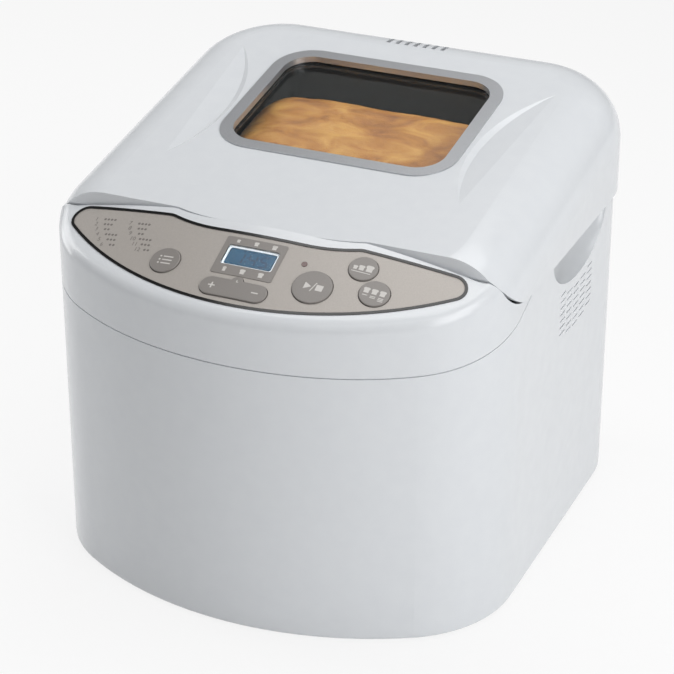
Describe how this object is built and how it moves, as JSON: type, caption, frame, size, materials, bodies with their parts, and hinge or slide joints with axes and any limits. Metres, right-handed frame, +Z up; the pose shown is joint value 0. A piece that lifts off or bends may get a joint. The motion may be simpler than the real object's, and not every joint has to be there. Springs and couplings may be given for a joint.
{
  "type": "bread machine",
  "caption": "Countertop bread machine: bowed white casing, sloped control panel with keys and screen, hinged window lid, lift-out pan, handle, paddle and belt drive.",
  "frame": {"origin": "centre of the footprint on the surface the feet stand on", "axes": "+Z up, front with the control panel towards -Y, +X to the right seen from the front"},
  "size_m": [0.2834, 0.315, 0.2603],
  "materials": {
    "white_plastic": "smooth moulded gloss",
    "white_plastic_inner": "fine moulded texture",
    "rubber": "matte",
    "black_gloss": "gloss",
    "panel_silver": "satin metallic paint",
    "key_grey": "satin",
    "lens_clear": "polished",
    "screen_blue": "back-lit film",
    "lamp_red": "tinted lens",
    "board_green": "solder mask",
    "black_matte": "matte",
    "steel": "bright",
    "sheet_steel": "rolled sheet",
    "satin_silver": "satin",
    "window_glass": "polished",
    "liner_grey": "dark satin coating",
    "pan_coating": "dark non-stick coating",
    "cast_aluminium": "as cast",
    "bronze": "sintered bronze"
  },
  "bodies": {
    "machine": {"body_shell": "white_plastic", "base_plate": "white_plastic_inner", "rubber_feet": "rubber", "base_screws": "steel", "cord_gland": "black_gloss", "top_fascia": "white_plastic", "panel_trim": "black_gloss", "panel_plate": "panel_silver", "display_frame": "key_grey", "display_lens": "lens_clear", "lcd_module": "screen_blue", "rocker_pin": "steel", "indicator_light": "lamp_red", "display_board": "board_green", "tact_switches": "black_matte", "hinge_eyes": "white_plastic_inner", "hinge_pins": "steel", "top_deck": "white_plastic_inner", "oven_chamber": "sheet_steel", "heater_element": "sheet_steel", "temperature_probe": "sheet_steel", "pan_seat": "cast_aluminium", "chassis_frame": "sheet_steel", "drive_bearing": "bronze", "drive_belt": "rubber", "motor_body": "sheet_steel", "motor_mount": "sheet_steel", "motor_capacitor": "black_matte", "power_board": "board_green"},
    "lid": {"lid_shell": "white_plastic", "window_frame": "satin_silver", "window_glass": "window_glass", "window_gasket": "rubber", "lid_liner": "liner_grey", "liner_screws": "steel"},
    "menu_key": {"menu_button": "key_grey"},
    "start_key": {"start_button": "key_grey"},
    "loaf_size_key": {"loaf_size_button": "key_grey"},
    "crust_key": {"crust_button": "key_grey"},
    "time_key": {"time_rocker": "key_grey"},
    "drive": {"drive_shaft": "steel", "drive_pulley": "black_matte", "drive_coupler": "cast_aluminium"},
    "rotor": {"motor_shaft": "steel", "motor_pulley": "black_matte"},
    "pan": {"bread_pan": "pan_coating", "pan_foot": "cast_aluminium", "pan_bush": "bronze"},
    "handle": {"pan_handle": "steel"},
    "paddle": {"paddle_shaft": "steel", "paddle_coupling": "cast_aluminium", "kneading_paddle": "pan_coating"}
  },
  "joints": [
    {"name": "lid_hinge", "type": "hinge", "parent": "machine", "child": "lid", "pos_m": [0, 0.153, 0.1945], "axis": [-1, 0, 0], "range_deg": [0, 80]},
    {"name": "menu_press", "type": "slide", "parent": "machine", "child": "menu_key", "axis": [0, 0.4242, -0.9056], "range_m": [0, 0.001], "stiffness_N_per_m": 400},
    {"name": "start_press", "type": "slide", "parent": "machine", "child": "start_key", "axis": [0, 0.4242, -0.9056], "range_m": [0, 0.001], "stiffness_N_per_m": 400},
    {"name": "loaf_size_press", "type": "slide", "parent": "machine", "child": "loaf_size_key", "axis": [0, 0.4242, -0.9056], "range_m": [0, 0.001], "stiffness_N_per_m": 400},
    {"name": "crust_press", "type": "slide", "parent": "machine", "child": "crust_key", "axis": [0, 0.4242, -0.9056], "range_m": [0, 0.001], "stiffness_N_per_m": 400},
    {"name": "time_rock", "type": "hinge", "parent": "machine", "child": "time_key", "pos_m": [0, -0.13752, 0.20093], "axis": [0, 0.9056, 0.4242], "range_deg": [-2.2, 2.2], "stiffness_Nm_per_rad": 0.05},
    {"name": "drive_spin", "type": "hinge", "parent": "machine", "child": "drive", "pos_m": [0, 0.0295, 0.03], "axis": [0, 0, 1], "continuous": true},
    {"name": "motor_spin", "type": "hinge", "parent": "machine", "child": "rotor", "pos_m": [0, -0.0975, 0.03], "axis": [0, 0, 1], "continuous": true},
    {"name": "pan_lift", "type": "slide", "parent": "machine", "child": "pan", "axis": [0, 0, 1], "range_m": [0, 0.006]},
    {"name": "handle_swing", "type": "hinge", "parent": "pan", "child": "handle", "pos_m": [0, 0.0295, 0.165], "axis": [1, 0, 0], "range_deg": [0, 147]},
    {"name": "paddle_spin", "type": "hinge", "parent": "pan", "child": "paddle", "pos_m": [0, 0.0295, 0.08], "axis": [0, 0, 1], "continuous": true}
  ],
  "couplings": [
    {"joint": "motor_spin", "follows": "drive_spin", "ratio": 4.75},
    {"joint": "paddle_spin", "follows": "drive_spin", "ratio": 1}
  ]
}
